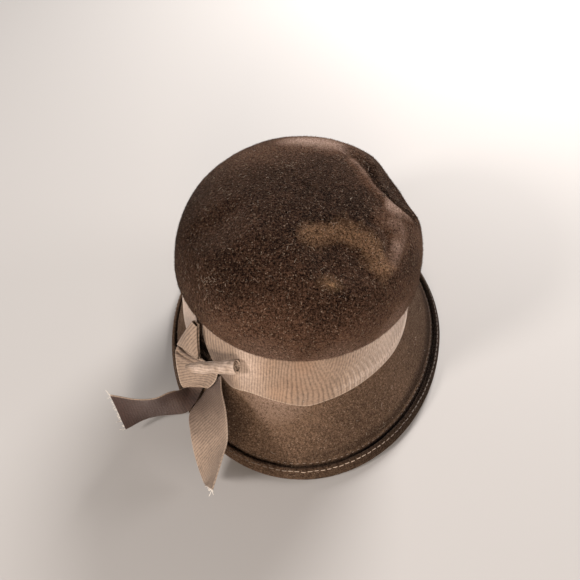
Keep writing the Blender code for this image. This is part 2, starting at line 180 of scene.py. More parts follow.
HANGING_TAIL = [
    dict(a=(-57.2, -103.4, 42.0), b=(-50.8, -104.6, 52.2), bow=0.0),
    dict(a=(-64.8, -111.5, 30.2), b=(-47.9, -114.6, 50.8), bow=0.8),
    dict(a=(-70.4, -123.6, 25.9), b=(-42.5, -127.1, 51.5), bow=1.6),
    dict(a=(-66.0, -137.0, 23.1), b=(-39.2, -137.7, 50.0), bow=1.6),
    dict(a=(-61.0, -148.2, 18.3), b=(-36.8, -149.1, 47.5), bow=1.2),
    dict(a=(-56.7, -155.9, 12.5), b=(-37.4, -159.9, 45.0), bow=0.8),
    dict(a=(-52.2, -162.5, 7.9), b=(-38.2, -169.7, 42.5), bow=0.4),
    dict(a=(-48.8, -167.2, 13.4), b=(-39.0, -180.2, 40.5), bow=0.0),
]
ROLL_ENDS = ((-74.2, -105.6, 57.4), (-37.8, -109.9, 74.9))
ROLL_RADIUS = (4.4, 5.2)
ROLL_TURNS = 2.55
ROLL_PITCH = 1.45

# The photograph's view: turn, height and roll of the eye, the hat's place in
# the eye's frame, and the lens.
VIEW = dict(azimuth=6.0, elevation=49.1, roll=3.4, right=15.8, up=-22.5, away=516.5, lens=36.93)

rng = np.random.default_rng(7)


# -------------------------------------------------------------------- camera
def eye_axes():
    a, e, r = (math.radians(VIEW[k]) for k in ("azimuth", "elevation", "roll"))
    back = np.array([math.sin(a) * math.cos(e), -math.cos(a) * math.cos(e), math.sin(e)])
    right = np.array([math.cos(a), math.sin(a), 0.0])
    up = np.cross(back, right)
    return np.stack([math.cos(r) * right + math.sin(r) * up, -math.sin(r) * right + math.cos(r) * up, back])


def placed(points):
    """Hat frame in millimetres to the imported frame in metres."""
    return (np.asarray(points, float) - SHIFT) * MM


def make_camera():
    axes = eye_axes()
    eye = placed(-np.array((VIEW["right"], VIEW["up"], -VIEW["away"])) @ axes)
    data = bpy.data.cameras.new("eye")
    data.sensor_width = 36.0
    data.lens = VIEW["lens"]
    data.clip_start = 0.01
    camera = bpy.data.objects.new("eye", data)
    bpy.context.scene.collection.objects.link(camera)
    turn = Matrix([list(r) for r in axes.T]).to_4x4()
    camera.matrix_world = Matrix.Translation(eye) @ turn
    bpy.context.scene.camera = camera


make_camera()


# ------------------------------------------------------------ felt, as in CAD
def smooth(rows, key, t):
    """Catmull-Rom through one column of a table."""
    v = np.array([r[key] for r in rows], float)
    n = len(v) - 1
    t = np.asarray(t, float)
    i = np.clip(t.astype(int), 0, n - 1)
    f = t - i
    a, b = v[i], v[i + 1]
    before = np.where(i > 0, v[np.maximum(i - 1, 0)], 2 * a - b)
    after = np.where(i + 2 <= n, v[np.minimum(i + 2, n)], 2 * b - a)
    return 0.5 * (
        2 * a
        + (b - before) * f
        + (2 * before - 5 * a + 4 * b - after) * f * f
        + (3 * a - before - 3 * b + after) * f**3
    )


def plain_felt(angle, s):
    """Outer felt without dents: s is 0 at the tip, 1 at the fullest section, 2 at the head line, 3 at the rim."""
    angle, s = np.broadcast_arrays(np.asarray(angle, float), np.asarray(s, float))
    full, head = SECTIONS[0], SECTIONS[-1]
    turn = np.clip(s, 0, 1) * np.pi / 2
    out = np.sin(turn) ** (2 / DOME_POWER)
    up = np.maximum(np.cos(turn), 0) ** (2 / DOME_POWER)
    t = np.clip(s - 1, 0, 1) * (len(SECTIONS) - 1)
    far = np.clip(s - 2, 0, 1)
    flare = far**BRIM_FLARE
    row = {}
    for key in ("half_width", "front", "back"):
        brim = head[key] + (RIM[key] - head[key]) * flare
        row[key] = np.where(s <= 1, full[key] * out, np.where(s <= 2, smooth(SECTIONS, key, t), brim))
    for key, top in (("x", TOP_CENTRE[0]), ("y", TOP_CENTRE[1])):
        brim = head[key] + (RIM[key] - head[key]) * flare
        row[key] = np.where(s <= 1, full[key] + (top - full[key]) * up, np.where(s <= 2, smooth(SECTIONS, key, t), brim))
    z = np.where(s <= 1, full["z"] + (TOP_Z - full["z"]) * up, np.where(s <= 2, smooth(SECTIONS, "z", t), HEAD_Z * (1 - far)))
    c, sn = np.cos(angle), np.sin(angle)
    end = np.where(sn > 0, row["back"], row["front"])
    return np.stack([row["x"] + row["half_width"] * c, row["y"] + end * sn, z], -1)


def outward(angle, s):
    """Unit normal of the outer felt."""
    angle, s = np.broadcast_arrays(np.asarray(angle, float), np.asarray(s, float))
    low, high = np.maximum(s - 0.01, 0.004), np.minimum(s + 0.01, 2.999)
    low = np.where(s > 2, np.maximum(low, 2.0), low)
    n = np.cross(plain_felt(angle, high) - plain_felt(angle, low), plain_felt(angle + 0.01, s) - plain_felt(angle - 0.01, s))
    return n / np.linalg.norm(n, axis=-1, keepdims=True)


def dent_depth(point):
    depth = np.zeros(point.shape[:-1])
    for d in DENTS:
        off = point - np.array((d["x"], d["y"], d["z"]))
        run = math.radians(d["run"])
        along = off @ np.array((math.cos(run), math.sin(run), 0.0))
        far = np.sqrt(np.maximum((off * off).sum(-1) - along * along, 0.0) + (along / d["longer"]) ** 2)
        t = np.clip((far - d["flat"]) / (d["reach"] - d["flat"]), 0.0, 1.0)
        depth = depth + d["depth"] * (1 - t * t) ** d["edge"]
    return depth


def near_path(point, path):
    """Distance from each point to a line of straight spans."""
    path = np.array(path, float)
    best = np.full(point.shape[:-1], 1e9)
    for p, q in zip(path[:-1], path[1:]):
        t = np.clip(((point - p) @ (q - p)) / ((q - p) @ (q - p)), 0, 1)
        best = np.minimum(best, np.linalg.norm(point - p - t[..., None] * (q - p), axis=-1))
    return best


def fold_depth(point):
    depth = np.zeros(point.shape[:-1])
    for f in FOLDS:
        t = np.clip(near_path(point, f["path"]) / f["reach"], 0, 1)
        depth = depth + f["depth"] * (1 - t * t) ** 2
    return depth


def felt(angle, s):
    """Outer felt with its dents and folds."""
    s = np.maximum(s, 0.004)
    point = plain_felt(angle, s)
    return point - (np.where(s > 1, 0.0, dent_depth(point) + fold_depth(point)))[..., None] * outward(angle, np.maximum(s, 0.02))


S_DOWN = np.linspace(3.0, 2.0, 41)


def brim_distance(angles):
    """Distance up the brim from its fold at each of S_DOWN, angle by angle."""
    points = plain_felt(np.asarray(angles)[:, None], S_DOWN[None, :])
    steps = np.linalg.norm(np.diff(points, axis=1), axis=2)
    return np.concatenate([np.zeros((len(angles), 1)), np.cumsum(steps, axis=1)], axis=1)


def s_up(angles, far, up):
    """The s at a distance up the brim from its fold."""
    return np.array([np.interp(max(u, 0.0), f, S_DOWN) for u, f in zip(np.broadcast_to(up, (len(angles),)), far)])


def on_brim(angles, far, up, over):
    """Points at a distance up the brim from its fold and a height over it."""
    s = s_up(angles, far, up)
    point = plain_felt(angles, s)
    up = np.broadcast_to(up, (len(angles),))
    edge = plain_felt(angles, np.full(len(angles), 3.0)) - plain_felt(angles, np.full(len(angles), 2.97))
    edge = edge / np.linalg.norm(edge, axis=1, keepdims=True)
    point = point - np.minimum(up, 0.0)[:, None] * edge
    return point + np.broadcast_to(over, (len(angles),))[:, None] * outward(angles, s)


# --------------------------------------------------------------- small helpers
def wave(points, size, seed, octaves=3):
    """Smooth noise from -1 to 1 over a set of points, as sums of sines in many directions."""
    pick = np.random.default_rng(seed)
    total = np.zeros(points.shape[:-1])
    for o in range(octaves):
        for _ in range(7):
            way = pick.normal(size=3)
            way /= np.linalg.norm(way)
            total += np.sin(points @ way * (2 * math.pi / size * 1.7**o) + pick.uniform(0, 6.28)) / 1.6**o
    return total / 5.0


def through(rows, counts):
    """Rings through given rings on smooth lines, with counts steps in each span."""
    rows = np.array(rows)
    h = np.maximum(np.linalg.norm(np.diff(rows, axis=0), axis=2).mean(1), 1e-6)
    slope = np.empty_like(rows)
    d = np.diff(rows, axis=0) / h[:, None, None]
    slope[0], slope[-1] = d[0], d[-1]
    for i in range(1, len(rows) - 1):
        slope[i] = (d[i] * h[i - 1] + d[i - 1] * h[i]) / (h[i] + h[i - 1])
    made = []
    for i, n in enumerate(counts):
        for k in range(n):
            f = k / n
            made.append(
                (2 * f**3 - 3 * f * f + 1) * rows[i]
                + (f**3 - 2 * f * f + f) * h[i] * slope[i]
                + (3 * f * f - 2 * f**3) * rows[i + 1]
                + (f**3 - f * f) * h[i] * slope[i + 1]
            )
    made.append(rows[-1])
    return np.array(made)


def ring_faces(rows, around, first=0):
    """Quads between closed rings that follow each other."""
    r = np.arange(rows - 1)[:, None] * around
    i = np.arange(around)[None, :]
    k = (i + 1) % around
    quads = np.stack([r + i, r + around + i, r + around + k, r + k], -1).reshape(-1, 4)
    return quads + first


def new_piece(name, points, faces, material, replaces=(), marks=None, tris=(), flat=False):
    """A mesh object from hat-frame points, riding on the one body."""
    mesh = bpy.data.meshes.new(name)
    points = placed(points).astype(np.float32)
    faces = [np.asarray(f, np.int32) for f in (faces, tris) if len(f)]
    corners = np.concatenate([f.ravel() for f in faces])
    sizes = np.concatenate([np.full(len(f), f.shape[1], np.int32) for f in faces])
    mesh.vertices.add(len(points))
    mesh.vertices.foreach_set("co", points.ravel())
    mesh.loops.add(len(corners))
    mesh.loops.foreach_set("vertex_index", corners.astype(np.int32))
    mesh.polygons.add(len(sizes))
    mesh.polygons.foreach_set("loop_start", np.concatenate([[0], np.cumsum(sizes)[:-1]]).astype(np.int32))
    mesh.polygons.foreach_set("loop_total", sizes)
    mesh.update(calc_edges=True)
    mesh.validate()
    if not flat:
        mesh.shade_smooth()
    for key, values in (marks or {}).items():
        layer = mesh.attributes.new(key, "FLOAT", "POINT")
        layer.data.foreach_set("value", np.asarray(values, np.float32).ravel())
    mesh.materials.append(material)
    piece = bpy.data.objects.new(name, mesh)
    bpy.context.scene.collection.objects.link(piece)
    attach(piece, "root")
    if replaces:
        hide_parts(*replaces)
    return piece


# ------------------------------------------------------------------ materials
class Nodes:
    """A material's node tree with short names for what is used here."""

    def __init__(self, name):
        self.material = bpy.data.materials.new(name)
        self.material.use_nodes = True
        self.tree = self.material.node_tree
        self.shader = self.tree.nodes["Principled BSDF"]
        self.column = 0

    def add(self, kind, **values):
        node = self.tree.nodes.new(kind)
        self.column += 1
        node.location = (-1600 + 180 * (self.column % 9), 400 - 220 * (self.column // 9))
        for key, value in values.items():
            setattr(node, key, value)
        return node

    def link(self, source, target):
        self.tree.links.new(source, target)

    def put(self, target, value):
        if isinstance(value, (int, float)):
            target.default_value = value
        elif isinstance(value, tuple):
            target.default_value = (*value, 1.0) if len(value) == 3 else value
        else:
            self.link(value, target)

    def where(self):
        return self.add("ShaderNodeTexCoord").outputs["Object"]

    def stretched(self, source, scale):
        node = self.add("ShaderNodeMapping")
        node.inputs["Scale"].default_value = scale
        self.link(source, node.inputs["Vector"])
        return node.outputs["Vector"]

    def noise(self, source, scale, detail=2.0, rough=0.5, lacunarity=2.0):
        node = self.add("ShaderNodeTexNoise")
        self.link(source, node.inputs["Vector"])
        node.inputs["Scale"].default_value = scale
        node.inputs["Detail"].default_value = detail
        node.inputs["Roughness"].default_value = rough
        node.inputs["Lacunarity"].default_value = lacunarity
        return node.outputs["Fac"]

    def cells(self, source, scale, feature="F1"):
        node = self.add("ShaderNodeTexVoronoi", feature=feature)
        self.link(source, node.inputs["Vector"])
        node.inputs["Scale"].default_value = scale
        return node

    def span(self, source, low, high, to_low=0.0, to_high=1.0, steps=False):
        node = self.add("ShaderNodeMapRange", interpolation_type="SMOOTHSTEP" if steps else "LINEAR")
        self.link(source, node.inputs["Value"])
        for key, value in (("From Min", low), ("From Max", high), ("To Min", to_low), ("To Max", to_high)):
            node.inputs[key].default_value = value
        return node.outputs["Result"]

    def math(self, operation, a, b=0.0, c=0.0, clamp=False):
        node = self.add("ShaderNodeMath", operation=operation, use_clamp=clamp)
        for socket, value in zip(node.inputs, (a, b, c)):
            self.put(socket, value)
        return node.outputs["Value"]

    def mix(self, factor, a, b, blend="MIX"):
        node = self.add("ShaderNodeMix", data_type="RGBA", blend_type=blend)
        self.put(node.inputs["Factor"], factor)
        self.put(node.inputs["A"], a)
        self.put(node.inputs["B"], b)
        return node.outputs["Result"]

    def mark(self, name):
        return self.add("ShaderNodeAttribute", attribute_name=name).outputs["Fac"]

    def bump(self, height, distance, strength=1.0, normal=None):
        node = self.add("ShaderNodeBump")
        node.inputs["Distance"].default_value = distance
        node.inputs["Strength"].default_value = strength
        self.link(height, node.inputs["Height"])
        if normal is not None:
            self.link(normal, node.inputs["Normal"])
        return node.outputs["Normal"]


def velour():
    """Dark brown velour: soft mottling, upright nap with pale tips, dust in it, a sheen at grazing angles, and painted
    highlight and shade from its marks.
    """
    n = Nodes("velour_felt")
    where = n.where()
    brushed = n.noise(where, 24.0, 3.0, 0.55)
    patches = n.noise(where, 120.0, 2.0, 0.6)
    tufts = n.span(n.noise(where, 620.0, 2.0, 0.7), 0.36, 0.64)
    nap = n.span(n.noise(where, 1150.0, 2.0, 0.7), 0.38, 0.62)
    tone = n.math("MULTIPLY", tufts, 0.62)
    tone = n.math("MULTIPLY_ADD", nap, 0.58, tone)
    tone = n.math("MULTIPLY_ADD", patches, 0.30, tone)
    tone = n.math("MULTIPLY_ADD", brushed, 0.40, tone)
    # painted highlight and painted shade lighten or darken the tone
    tone = n.math("MULTIPLY_ADD", n.mark("painted_light_and_shade"), 0.42, tone)
    tone = n.math("SUBTRACT", tone, 0.56, clamp=True)
    steep = n.math("POWER", tone, 1.6)
    crown = n.mix(steep, (0.0024, 0.0011, 0.0006), (0.112, 0.060, 0.038))
    fine = n.math("MULTIPLY_ADD", n.math("SUBTRACT", tone, 0.41), 0.52, 0.470, clamp=True)
    brim = n.mix(n.math("POWER", fine, 1.6), (0.0200, 0.0110, 0.0070), (0.292, 0.187, 0.123))
    colour = n.mix(n.mark("brim"), crown, brim)
    speckled = n.math("MULTIPLY_ADD", nap, 0.60, n.math("MULTIPLY", tufts, 0.40))
    # painted highlight on the lit far wall of the dimple, also taken as nap worn pale by handling
    colour = n.mix(n.math("MULTIPLY", n.mark("rubbed_and_lit"), n.math("MULTIPLY_ADD", speckled, 1.05, -0.02, clamp=True)), colour, (0.285, 0.168, 0.096))
    # painted highlight on the very top and along the lips of the folds
    painted_highlight = n.math("MULTIPLY", n.span(n.mark("painted_light_and_shade"), 0.90, 2.0), n.math("MULTIPLY_ADD", speckled, 1.10, 0.05), clamp=True)
    colour = n.mix(painted_highlight, colour, (0.475, 0.350, 0.290))
    # dust and broken hair in the nap
    fleck = n.cells(where, 760.0)
    dusty = n.math("MULTIPLY", n.span(fleck.outputs["Distance"], 0.40, 0.16), n.span(n.noise(where, 410.0, 2.0, 0.7), 0.49, 0.65))
    colour = n.mix(n.math("MULTIPLY", dusty, 0.50), colour, (0.52, 0.39, 0.29))
    # worn spot on the crown; painted shade under the turned edge, on the brim's right side and in the gap behind the
    # bow
    colour = n.mix(n.math("MULTIPLY", n.mark("worn"), n.math("MULTIPLY_ADD", nap, 0.75, 0.30), clamp=True), colour, (0.80, 0.48, 0.25))
    colour = n.mix(n.mark("shade"), colour, (0.003, 0.002, 0.0015))
    n.link(colour, n.shader.inputs["Base Color"])
    n.link(n.span(nap, 0.0, 1.0, 0.88, 1.0), n.shader.inputs["Roughness"])
    n.shader.inputs["Specular IOR Level"].default_value = 0.03
    n.shader.inputs["Sheen Weight"].default_value = 0.12
    n.shader.inputs["Sheen Roughness"].default_value = 0.28
    n.shader.inputs["Sheen Tint"].default_value = (0.95, 0.66, 0.50, 1.0)
    lift = n.math("MULTIPLY_ADD", nap, 0.6, tufts)
    n.link(n.bump(lift, 0.0007, 0.8), n.shader.inputs["Normal"])
    return n.material


def grosgrain():
    """Taupe grosgrain: darker between the ribs, fine warp threads over them, paler selvedges, with painted shade,
    painted highlight and a painted warm light tint from its marks.
    """
    n = Nodes("grosgrain")
    where = n.where()
    rib, edge = n.mark("rib"), n.mark("edge")
    across = n.mark("across")
    threads = n.math("ADD", n.math("MULTIPLY", n.math("SINE", n.math("MULTIPLY", across, 2 * math.pi / 0.52)), 0.5), 0.5)
    slub = n.span(n.noise(where, 520.0, 3.0, 0.65), 0.34, 0.66)
    stain = n.noise(where, 36.0, 3.0, 0.55)
    tone = n.math("MULTIPLY_ADD", rib, 0.70, -0.30)
    tone = n.math("MULTIPLY_ADD", threads, 0.12, tone)
    tone = n.math("MULTIPLY_ADD", slub, 0.36, tone)
    tone = n.math("MULTIPLY_ADD", stain, 0.52, tone, clamp=True)
    colour = n.mix(tone, (0.040, 0.027, 0.020), (0.365, 0.268, 0.200))
    # painted highlight where the shade mark is below zero
    painted_highlight = n.mix(tone, (0.110, 0.082, 0.068), (0.720, 0.580, 0.490))
    colour = n.mix(n.math("MULTIPLY", n.mark("shade"), -1.0, clamp=True), colour, painted_highlight)
    # painted warm lamplight on the front of the band
    colour = n.mix(n.mark("warm_light_tint"), colour, (1.0, 0.87, 0.76), blend="MULTIPLY")
    pale = n.math("MULTIPLY", edge, n.math("MULTIPLY_ADD", rib, 0.45, 0.10))
    colour = n.mix(pale, colour, (0.52, 0.41, 0.32))
    speck = n.cells(where, 520.0)
    dusty = n.math("MULTIPLY", n.span(speck.outputs["Distance"], 0.24, 0.1), n.span(n.noise(where, 300.0, 1.0), 0.57, 0.66))
    colour = n.mix(n.math("MULTIPLY", dusty, 0.50), colour, (0.60, 0.48, 0.38))
    # painted shade where the shade mark is above zero
    colour = n.mix(n.math("MULTIPLY", n.mark("shade"), 1.0, clamp=True), colour, n.mix(tone, (0.009, 0.005, 0.004), (0.056, 0.030, 0.025)))
    n.link(colour, n.shader.inputs["Base Color"])
    n.link(n.span(slub, 0.0, 1.0, 0.55, 0.78), n.shader.inputs["Roughness"])
    n.shader.inputs["Specular IOR Level"].default_value = 0.28
    n.shader.inputs["Sheen Weight"].default_value = 0.30
    n.shader.inputs["Sheen Roughness"].default_value = 0.35
    n.shader.inputs["Sheen Tint"].default_value = (1.0, 0.88, 0.80, 1.0)
    lift = n.math("MULTIPLY_ADD", threads, 0.35, slub)
    n.link(n.bump(lift, 0.00014, 0.8), n.shader.inputs["Normal"])
    return n.material


def thread(name, low, high, sheen=0.3, thread_shade=None):
    n = Nodes(name)
    where = n.where()
    twist = n.noise(where, 2600.0, 2.0, 0.6)
    colour = n.mix(n.span(twist, 0.3, 0.7), low, high)
    if thread_shade:
        colour = n.mix(n.mark("thread_shade"), colour, thread_shade)
    n.link(colour, n.shader.inputs["Base Color"])
    n.link(n.span(twist, 0.3, 0.7, 0.45, 0.7), n.shader.inputs["Roughness"])
    n.shader.inputs["Sheen Weight"].default_value = sheen
    n.link(n.bump(twist, 0.00008, 0.8), n.shader.inputs["Normal"])
    return n.material


VELOUR = velour()
GROSGRAIN = grosgrain()


# --------------------------------------------------------------------- the felt
AROUND = 320


# Spots of painted highlight (amount above zero) and painted shade (below zero) on the felt: centre, reach and amount.
PAINTED_LIGHT_AND_SHADE = [
    dict(at=(-15.0, -114.0, 88.0), reach=72.0, amount=1.08),
    dict(at=(55.0, -84.0, 84.0), reach=60.0, amount=1.02),
    dict(at=(-26.0, 48.0, 143.0), reach=22.0, amount=0.8),
    dict(at=(-13.0, 49.0, 144.0), reach=32.0, amount=1.05),
    dict(at=(6.0, 50.0, 143.0), reach=32.0, amount=1.15),
    dict(at=(44.6, -33.0, 143.5), reach=13.0, amount=0.55),
    dict(at=(72.0, -16.0, 124.0), reach=26.0, amount=0.70),
    dict(at=(43.0, -23.0, 143.5), reach=12.0, amount=0.30),
    dict(at=(70.0, -60.0, 100.0), reach=36.0, amount=0.45),
    dict(at=(-50.0, 25.0, 143.0), reach=32.0, amount=0.35),
    dict(at=(44.0, 10.0, 143.0), reach=15.0, amount=-1.2),
    dict(at=(57.0, 3.0, 136.0), reach=13.0, amount=-1.0),
    dict(at=(-68.0, -88.0, 62.0), reach=20.0, amount=-1.6),
    dict(at=(-43.0, -121.0, 24.0), reach=24.0, amount=-1.6),
    dict(at=(-40.0, 30.0, 145.0), reach=40.0, amount=0.35),
    dict(at=(-12.0, -112.0, 40.0), reach=58.0, amount=0.78),
    dict(at=(115.0, 5.0, 10.0), reach=92.0, amount=-1.5),
    dict(at=(-95.0, -30.0, 110.0), reach=60.0, amount=-0.45),
    dict(at=(0.0, -25.0, 155.0), reach=60.0, amount=-0.35),
]


# painted highlights along the sharp folds: the lip of the hollow and the crest beside it
PAINTED_HIGHLIGHT_LINES = [
    dict(path=[(20.0, 25.0, 148.5), (24.0, 20.0, 148.5), (29.0, 9.0, 148.5), (36.0, -1.0, 147.5), (44.0, -7.0, 144.5), (53.0, -9.5, 139.5), (58.0, -10.5, 136.0)], half=8.5, amount=1.32),
    dict(path=[(48.5, -14.0, 142.5), (51.5, -19.0, 141.0), (56.0, -26.0, 137.5), (57.5, -34.0, 135.5), (56.0, -43.0, 134.5), (53.0, -53.0, 133.0)], half=10.0, amount=1.15),
    dict(path=[(38.0, -20.0, 146.5), (44.4, -28.7, 144.0), (49.1, -35.6, 140.6), (52.0, -41.0, 138.0)], half=7.0, amount=0.42),
]


def painted_light_and_shade(points):
    """Painted highlight, above zero, and painted shade, below zero, over the felt, on a slow random variation."""
    total = 0.10 * wave(points, 60.0, 31, 2)
    for f in PAINTED_LIGHT_AND_SHADE:
        far = np.linalg.norm(points - np.array(f["at"]), axis=-1) / f["reach"]
        total = total + f["amount"] * np.clip(1 - far * far, 0, 1) ** 1.5
    for line in PAINTED_HIGHLIGHT_LINES:
        far = near_path(points, line["path"]) / (line["half"] * (1 + 0.12 * wave(points, 18.0, 33, 2)))
        total = total + line["amount"] * (0.95 + 0.12 * wave(points, 11.0, 34, 2)) * np.clip(1 - far * far, 0, 1) ** 1.5
    return total


def felt_piece():
    angles = 2 * math.pi * np.arange(AROUND) / AROUND
    far = brim_distance(angles)
    rows, brim, shade = [], [], []

    def put(ring, b=0.0, d=0.0):
        rows.append(ring)
        brim.append(np.broadcast_to(b, (AROUND,)))
        shade.append(np.broadcast_to(d, (AROUND,)))

    dome = 96
    for i in range(dome):
        put(felt(angles, np.full(AROUND, (i + 1) / dome)))
    marks = [1 + i / 7 for i in range(8)]
    for (low, high), count in zip(zip(marks[:-1], marks[1:]), (5, 6, 6, 5, 5, 5, 6)):
        for k in range(count):
            s = low + (high - low) * (k + 1) / count
            put(plain_felt(angles, np.full(AROUND, s)), b=float(np.clip((s - 1.55) / 0.3, 0, 1)))
    top = s_up(angles, far, TURNED_EDGE[0]["up"])
    count = 42
    # painted shade on the brim's right side just inside the turned edge, where the crown's shadow falls
    lee = np.clip(np.cos(angles - math.radians(352.0)), 0, 1) ** 1.5
    for i in range(1, count):
        put(plain_felt(angles, 2 + (top - 2) * i / count), b=1.0, d=0.88 * lee * float(np.clip((i - 34) / 5.0, 0, 1)))
    # turned edge: its raw edge waves a little, as a cut edge does
    waver = np.sin(angles * 23 + 0.8) * 0.12 + np.sin(angles * 41 + 2.1) * 0.08
    key = []
    for e in TURNED_EDGE:
        near = np.clip((e["up"] - 6.0) / 3.0, 0, 1) * (1.0 if e["over"] > -0.1 else 0.3)
        key.append(on_brim(angles, far, e["up"] + waver * near, e["over"]))
    spans = (2, 2, 3, 3, 2, 2, 2, 2, 3, 3, 3, 3, 3, 2, 2)
    turned = through(key, spans)
    # painted shade in the groove under the raw edge, lighter at the front and heavier on the right, and over the turned
    # edge's outer face on the right
    dark = np.interp(np.arange(len(turned)), np.concatenate([[0], np.cumsum(spans)]), (0, 0.25, 0.75, 0.95, 1, 1, 0.9, 0.55, 0.15, 0, 0, 0, 0, 0, 0, 0))
    front = np.clip(1 - np.abs(np.degrees(angles) - 268.0) / 60.0, 0, 1)
    for i, (ring, d) in enumerate(zip(turned[:-1], dark[:-1])):
        side = np.clip(np.cos(angles - math.radians(350.0)), 0, 1) ** 1.3
        put(ring, b=1.0, d=np.maximum(np.clip(float(d) * (1 - 0.70 * front) * (1 + 0.8 * side), 0, 1), (0.06 + 0.90 * side) * float(i > 14)))
    # fold, flat foot, underside, inside
    key = [turned[-1]]
    for inset, z in ((0.15, -0.9), (0.9, REST_Z), (3.0, REST_Z)):
        c, s = np.cos(angles), np.sin(angles)
        end = np.where(s > 0, RIM["back"], RIM["front"])
        key.append(np.stack([RIM["x"] + (RIM["half_width"] - inset) * c, RIM["y"] + (end - inset) * s, np.full(AROUND, z)], -1))
    for up in (6.0, 8.0, 15.0, 28.0, 40.0):
        key.append(on_brim(angles, far, up, -FELT))
    under = through(key, (2, 2, 2, 3, 2, 4, 6, 6))
    for ring in under[:-1]:
        put(ring, b=0.8)
    key = [under[-1]]
    for section in reversed(SECTIONS[1:]):
        if section["wall"] == 2.8:
            continue
        c, s = np.cos(angles), np.sin(angles)
        end = np.where(s > 0, section["back"], section["front"])
        wall = section["wall"]
        key.append(np.stack([section["x"] + (section["half_width"] - wall) * c, section["y"] + (end - wall) * s, np.full(AROUND, section["z"])], -1))
    full = np.full(AROUND, 1.0)
    key.append(felt(angles, full) - FELT * outward(angles, full))
    inner = through(key, (5, 4, 4, 3, 2, 2, 2))
    for ring in inner[:-1]:
        put(ring, b=0.4)
    inside_rings = 44
    for i in range(inside_rings, 0, -1):
        s = np.full(AROUND, i / inside_rings)
        put(felt(angles, s) - FELT * outward(angles, np.maximum(s, 0.02)), b=0.3)
    rows = np.array(rows)
    # the blocked felt is never quite even, and its nap stands up unevenly
    normal = np.cross(np.gradient(rows, axis=0), np.roll(rows, -1, axis=1) - np.roll(rows, 1, axis=1))
    normal /= np.maximum(np.linalg.norm(normal, axis=2, keepdims=True), 1e-9)
    outer = np.arange(len(rows)) < dome + 38 + count
    soft = wave(rows, 95.0, 3, 3) * 0.45 + wave(rows, 14.0, 5, 2) * 0.10
    fuzz = rng.normal(size=rows.shape[:2]) * 0.06
    amount = np.where(outer, 1.0, 0.35)[:, None]
    rows = rows + normal * ((soft * np.where(outer, 1.0, 0.25)[:, None]) + fuzz * amount)[..., None]
    low = len(rows)
    rows[..., 2] = np.maximum(rows[..., 2], REST_Z)
    points = list(rows.reshape(-1, 3))
    tip = rows[0].mean(0) + (0, 0, 0.05)
    under_tip = rows[-1].mean(0)
    points = np.array(points + [tip, under_tip])
    quads = ring_faces(low, AROUND)
    i = np.arange(AROUND)
    k = (i + 1) % AROUND
    last = (low - 1) * AROUND
    tris = np.concatenate([
        np.stack([np.full(AROUND, len(points) - 2), i, k], -1),
        np.stack([np.full(AROUND, len(points) - 1), last + k, last + i], -1),
    ])
    spot = np.array((17.1, -82.0, 137.8))
    off = points - spot
    run = np.hypot(off[:, 0] / 1.45, off[:, 1]) + np.abs(off[:, 2]) * 0.8
    patchy = 0.75 + 0.5 * wave(points, 3.2, 11, 2)
    worn = np.clip(1.35 - run / 2.6, 0, 1) * np.clip(patchy, 0, 1)
    wide = np.clip(1 - run / 9.0, 0, 1) * 0.18
    rubbed_and_lit = np.zeros(len(points))
    for row in RUBBED_AND_LIT:
        best = near_path(points, row["path"]) / row["half"]
        best = best * (1 + 0.30 * wave(points, 16.0, 21, 2)) + 0.12 * wave(points, 4.5, 22, 2)
        rubbed_and_lit = np.maximum(rubbed_and_lit, row["amount"] * np.clip(1.45 - 1.1 * best, 0, 1))
    outside = np.arange(len(points)) < dome * AROUND
    rubbed_and_lit *= outside
    return new_piece(
        "felt_hat",
        points,
        quads,
        VELOUR,
        ["felt_body"],
        marks=dict(
            brim=np.concatenate([np.array(brim).ravel(), [0, 0]]),
            # painted shade in the gap behind the bow
            shade=np.maximum(np.concatenate([np.array(shade).ravel(), [0, 0]]), np.clip(1.5 - np.linalg.norm(points - (-64.0, -88.0, 62.0), axis=1) / 15.0, 0, 0.9)),
            worn=np.maximum(worn, wide) * outside,
            rubbed_and_lit=rubbed_and_lit,
            painted_light_and_shade=painted_light_and_shade(points),
        ),
        tris=tris,
    )


felt_piece()


# ------------------------------------------------------------------ the ribbons
def rib_height(phase):
    """Height of the ribs, 0 in the groove and 1 on the crest."""
    return np.sqrt(np.maximum(1 - (2 * (phase % 1.0) - 1) ** 2, 0.0))


def across_steps(width, middle):
    """Places across a ribbon, closer together at its two edges."""
    edge = [0.0, 0.12, 0.3, 0.6, 1.0, 1.5]
    inner = np.linspace(edge[-1], width - edge[-1], middle + 2)[1:-1]
    return np.array(edge + list(inner) + [width - e for e in reversed(edge)]) / width


